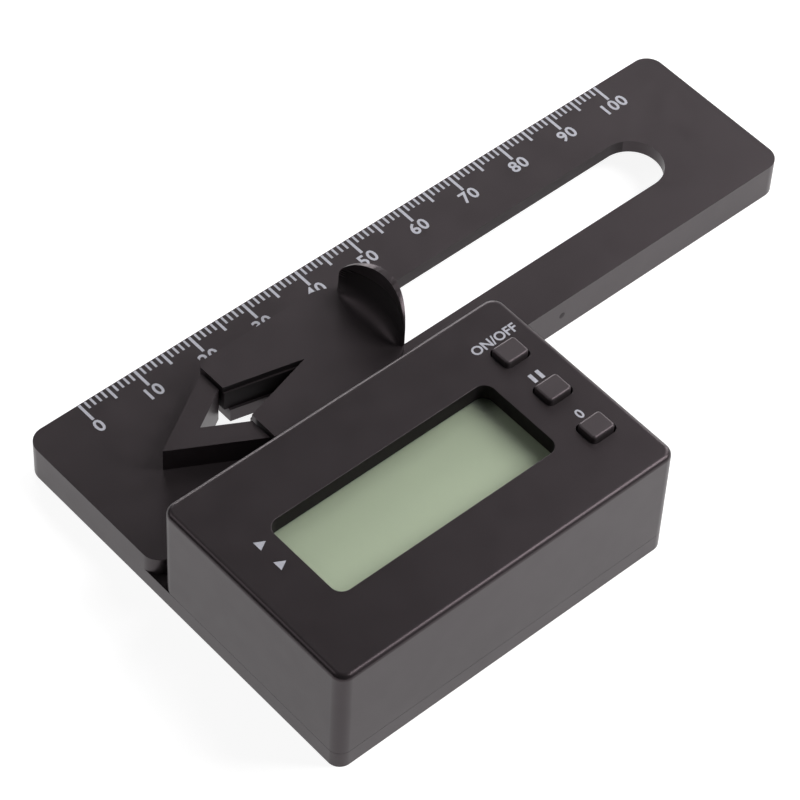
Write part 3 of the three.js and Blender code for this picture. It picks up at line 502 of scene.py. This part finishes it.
# Painted shade: the colour that the hollow's upper part takes on.
HOLLOW_SHADE_COLOUR = (0.008, 0.0074, 0.0077)
HOLLOW_ROUGHER = 0.42
HOLLOW_GLOSS = 0.4
HOLLOW_RISE = 0.02 * MM
HOLLOW_FADE = 2.2 * MM
HOLLOW_FACING_X = -0.15
HOLLOW_FACING_Z = 0.02
slider = softened("slider_jaw", "sliding_jaw", JAW_EDGE, lambda first, second: True)
dress(slider, black_plastic("slider_black", JAW_COLOUR))
jaw_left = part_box("slider_jaw")[0][0]
jaw_top = max(vert.co.z for vert in slider.data.vertices if vert.co.x < jaw_left + JAW_END)
hollow = Finish("hollow_painted_shade")
rise = hollow.node("ShaderNodeSeparateXYZ", None, {"Vector": hollow.place}, "Z")
# The share of painted shade in the hollow grows with its height.
share = hollow.node("ShaderNodeMapRange", {"interpolation_type": "SMOOTHSTEP"}, {
    "Value": rise, "From Min": jaw_top, "From Max": jaw_top + HOLLOW_FADE,
})
hollow_painted_shade = hollow.surface(
    base_color=hollow.mix(share, JAW_COLOUR, HOLLOW_SHADE_COLOUR),
    roughness=PLASTIC_ROUGHNESS + HOLLOW_ROUGHER * share,
    specular_ior_level=HOLLOW_GLOSS,
    specular_tint=PLASTIC_SHEEN,
)
cover_faces(
    slider, hollow_painted_shade,
    lambda middle, normal: middle.z > jaw_top + HOLLOW_RISE
    and normal.x < HOLLOW_FACING_X and normal.z > HOLLOW_FACING_Z,
)
# The walls of the V take the darker colour, which is painted shade.
cover_faces(
    slider, black_plastic("jaw_wall_painted_shade", JAW_WALL_SHADE_COLOUR, JAW_WALL_ROUGHNESS, JAW_WALL_GLOSS),
    lambda middle, normal: plate_top < middle.z < jaw_top
    and normal.y < JAW_WALL_FACING and abs(normal.z) < JAW_WALL_LEAN,
)
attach(slider, "slider")
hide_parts("slider_jaw")

# Keys: three small caps of a greyer satin plastic that stand out of the housing.
# Each has a flange under the roof that holds it in, and is pressed down on to its switch.
KEYS = ("power", "hold", "zero")
KEY_COLOUR = (0.055, 0.0475, 0.0505)
KEY_ROUGHNESS = 0.36
KEY_EDGE = 0.06 * MM
KEY_ROUNDS = 1
for key in KEYS:
    cap = softened(f"button_{key}", f"key_cap_{key}", KEY_EDGE, lambda first, second: True, KEY_ROUNDS)
    dress(cap, black_plastic(f"key_black_{key}", KEY_COLOUR, KEY_ROUGHNESS))
    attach(cap, f"{key}_key")
    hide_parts(f"button_{key}")

# Key marks: on and off, two bars that hold the reading, and nought, in the ruler's ink behind the keys.
# Two small triangles at the left of the window point at the display's mode marks.
KEY_WORDS = {"power": "ON/OFF", "zero": "0"}
KEY_MARK_OFFSET = 3.3 * MM
KEY_MARK_HEIGHT = 1.65 * MM
KEY_MARK_WEIGHT = 0.02
BAR_SPACING = 1.3 * MM
BAR_WIDTH = 0.6 * MM
PANEL_MARGIN = 1.45 * MM
POINTER_LENGTH = 1.5 * MM
POINTER_HEIGHT = 1.7 * MM
POINTER_GAP = 1.7 * MM
POINTER_DROPS = (2.0 * MM, 6.2 * MM)
UNIT_TRIANGLE_LENGTH = 1.5
UNIT_TRIANGLE_WIDTH = math.sqrt(3)


# A triangle of ink with its tip towards +X
def pointer(shape, tip_x, y, z):
    along = POINTER_LENGTH / UNIT_TRIANGLE_LENGTH
    made = bmesh.ops.create_cone(
        shape, cap_ends=True, segments=3, radius1=1, radius2=1, depth=INK_FILM,
        matrix=Matrix.Rotation(math.radians(-90), 4, "Z"),
    )["verts"]
    bmesh.ops.scale(shape, vec=(along, POINTER_HEIGHT / UNIT_TRIANGLE_WIDTH, 1), verts=made)
    bmesh.ops.translate(shape, vec=(tip_x - along, y, z + INK_FILM / 2), verts=made)


housing_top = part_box("display_housing")[1][2]
marks = bmesh.new()
for key in KEYS:
    key_low, key_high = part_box(f"button_{key}")
    key_middle = (key_low + key_high) / 2
    mark_y = key_middle.y + KEY_MARK_OFFSET
    if key in KEY_WORDS:
        lettered(
            marks, KEY_WORDS[key], key_middle.x, mark_y, housing_top, KEY_MARK_HEIGHT, KEY_MARK_WEIGHT,
        )
    else:
        for side in (-1, 1):
            x = key_middle.x + side * BAR_SPACING / 2
            film(
                marks, x - BAR_WIDTH / 2, x + BAR_WIDTH / 2,
                mark_y - KEY_MARK_HEIGHT / 2, mark_y + KEY_MARK_HEIGHT / 2, housing_top,
            )
panel_low, panel_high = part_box("display_panel")
for drop in POINTER_DROPS:
    pointer(marks, panel_low.x + PANEL_MARGIN - POINTER_GAP, panel_high.y - PANEL_MARGIN - drop, housing_top)
printed(marks, "key_marks", white_ink("ink_marks"))

# Display: a blank grey-green liquid crystal panel in a white frame, which stands on the board under the roof.
# Two strips of soft conducting rubber join its contacts to the board.
PANEL_DARKER = (0.415, 0.492, 0.318)
PANEL_LIGHTER = (0.444, 0.526, 0.338)
PANEL_ROUGHNESS = 0.4
PANEL_DRIFT_SCALE = 30
FRAME_COLOUR = (0.7, 0.7, 0.66)
FRAME_ROUGHNESS = 0.5
STRIP_COLOUR = (0.5, 0.36, 0.4)
STRIP_ROUGHNESS = 0.7
MOTTLE_SCALE = 400
MOTTLE_SHARE = 0.85
MOTTLE_SPREAD = 0.1
panel = Finish("display_green")
dress(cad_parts["display_panel"], panel.surface(
    base_color=panel.mix(panel.noise(PANEL_DRIFT_SCALE, detail=1), PANEL_DARKER, PANEL_LIGHTER),
    roughness=PANEL_ROUGHNESS,
))


# A plain finish with a faint mottle
def plain(name, colour, roughness, metallic=0.0):
    finish = Finish(name)
    mottle = finish.noise(MOTTLE_SCALE)
    return finish.surface(
        base_color=finish.mix(mottle, shaded(colour, MOTTLE_SHARE), colour),
        roughness=roughness + MOTTLE_SPREAD * mottle,
        metallic=metallic,
    )


dress(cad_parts["display_frame"], plain("frame_white", FRAME_COLOUR, FRAME_ROUGHNESS))
for name in ("connector_strip_rear", "connector_strip_front"):
    dress(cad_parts[name], plain(f"rubber_{name}", STRIP_COLOUR, STRIP_ROUGHNESS))

# Window: a clear moulded pane over the panel, held by the same frame in the opening of the roof.
# It is nearly invisible, and its surface has a soft sheen.
WINDOW_COLOUR = (0.8, 0.85, 0.8, 1)
WINDOW_ALPHA = 0.1
WINDOW_ROUGHNESS = 0.06
WINDOW_HAZE = 0.03
WINDOW_HAZE_SCALE = 300
window = Finish("clear_window")
dress(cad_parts["display_window"], window.surface(
    base_color=WINDOW_COLOUR,
    roughness=WINDOW_ROUGHNESS + WINDOW_HAZE * window.noise(WINDOW_HAZE_SCALE),
    alpha=WINDOW_ALPHA,
))

# Battery door: a flat lid of the base's plastic, flush in the underside.
# It hooks in at its left end and a finger holds the other. Only its lower edges are softened.
DOOR_EDGE = 0.12 * MM
DOOR_SOFT_BELOW_MM = 1.3
door = softened(
    "battery_door", "door_moulding", DOOR_EDGE,
    lambda first, second: max(first.z, second.z) < DOOR_SOFT_BELOW_MM,
)
dress(door, base_black)
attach(door, "door")
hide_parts("battery_door")

# Screws: zinc-plated steel, driven from below into the housing's posts, the board's bosses and the jaw.
# The can of the crystal on the board has the same bright plate.
ZINC_COLOUR = (0.62, 0.63, 0.64)
ZINC_ROUGHNESS = 0.3
SWIRL_SCALE = 2500
SWIRL_STRETCH = (1, 1, 0.2)
SWIRL_SHARE = 0.8
SWIRL_SPREAD = 0.12
SWIRL_HEIGHT = 0.004 * MM


def plated(name, colour, roughness):
    finish = Finish(name)
    swirl = finish.noise(SWIRL_SCALE, stretch=SWIRL_STRETCH)
    return finish.surface(
        base_color=finish.mix(swirl, shaded(colour, SWIRL_SHARE), colour),
        roughness=roughness + SWIRL_SPREAD * swirl,
        metallic=1.0,
        normal=finish.grain(swirl, SWIRL_HEIGHT),
    )


zinc = plated("zinc_plate", ZINC_COLOUR, ZINC_ROUGHNESS)
for name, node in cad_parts.items():
    if "screw" in name or name == "timing_crystal":
        dress(node, zinc)

# Contacts: plates of nickel-plated spring steel, two of them with a coil that presses on a cell.
# The friction leaf, screwed on between the retainer and the plate, is bent from the same steel.
NICKEL_COLOUR = (0.66, 0.64, 0.60)
NICKEL_ROUGHNESS = 0.24
nickel = plated("nickel_plate", NICKEL_COLOUR, NICKEL_ROUGHNESS)
for name in ("contact_positive", "contact_negative", "contact_bridge", "friction_spring"):
    dress(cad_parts[name], nickel)

# Retainer: a flat bar of the base's plastic under the plate, screwed to the tongue of the sliding jaw.
# It keeps the jaw in its slot and carries the friction leaf.
dress(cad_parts["slider_retainer"], base_black)

# Cells: two small round cells in brass-coloured jackets.
# They lie side by side in the bay and point opposite ways.
JACKET_COLOUR = (0.55, 0.40, 0.10)
JACKET_ROUGHNESS = 0.3
JACKET_METALLIC = 0.6
for name in ("battery_cell_front", "battery_cell_rear"):
    dress(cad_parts[name], plain(f"jacket_{name}", JACKET_COLOUR, JACKET_ROUGHNESS, JACKET_METALLIC))

# Circuit board: green glass-fibre laminate over the battery bay, screwed up to bosses of the housing.
# It carries the controller, the tilt sensor and a capacitor, all in black resin.
BOARD_COLOUR = (0.02, 0.13, 0.05)
BOARD_ROUGHNESS = 0.35
RESIN_COLOUR = (0.014, 0.014, 0.016)
RESIN_ROUGHNESS = 0.45
dress(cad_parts["circuit_board"], plain("board_green", BOARD_COLOUR, BOARD_ROUGHNESS))
for name in ("controller_chip", "tilt_sensor", "capacitor"):
    dress(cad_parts[name], plain(f"resin_{name}", RESIN_COLOUR, RESIN_ROUGHNESS))

# Switches: one on the board under each key, with a grey moulded body and a small black plunger.
# The key meets the plunger when it is pressed.
SWITCH_COLOUR = (0.2, 0.2, 0.21)
PLUNGER_COLOUR = (0.02, 0.02, 0.02)
SWITCH_ROUGHNESS = 0.45
for key in KEYS:
    body_grey = plain(f"switch_grey_{key}", SWITCH_COLOUR, SWITCH_ROUGHNESS)
    plunger_black = plain(f"plunger_black_{key}", PLUNGER_COLOUR, SWITCH_ROUGHNESS)
    dress(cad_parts[f"switch_body_{key}"], body_grey)
    dress(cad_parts[f"switch_plunger_{key}"], plunger_black)
